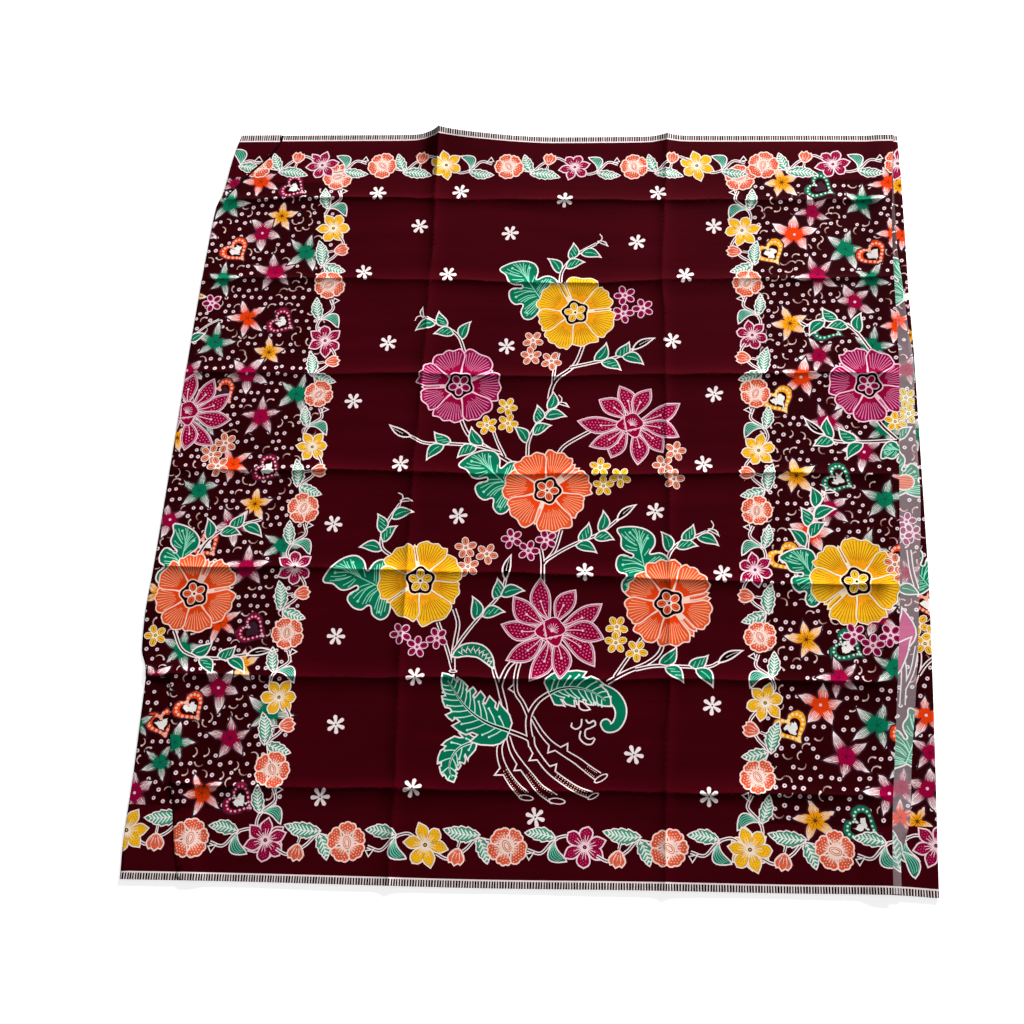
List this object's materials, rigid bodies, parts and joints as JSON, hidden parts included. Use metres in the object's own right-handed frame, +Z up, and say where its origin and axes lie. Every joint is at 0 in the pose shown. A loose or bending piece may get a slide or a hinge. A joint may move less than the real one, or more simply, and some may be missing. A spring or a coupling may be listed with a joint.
{
  "type": "batik sarong",
  "caption": "Printed cotton tube sarong laid flat and doubled, with package creases, a turned-out side seam and small pleats at the left corners.",
  "frame": {"origin": "on the floor, under the middle of the laid cloth's box", "axes": "+Z up from the floor through the layers, +Y towards the top hem, +X towards the seam's side"},
  "size_m": [1.008, 1.074, 0.0169],
  "materials": {
    "printed_cotton": "matt, faint sheen",
    "cotton_wrong_side": "matt"
  },
  "bodies": {
    "root": {"front_panel": "printed_cotton", "back_panel": "printed_cotton", "seam_allowance": "cotton_wrong_side", "lower_left_pleat": "printed_cotton", "top_left_pleat": "printed_cotton"}
  },
  "joints": []
}
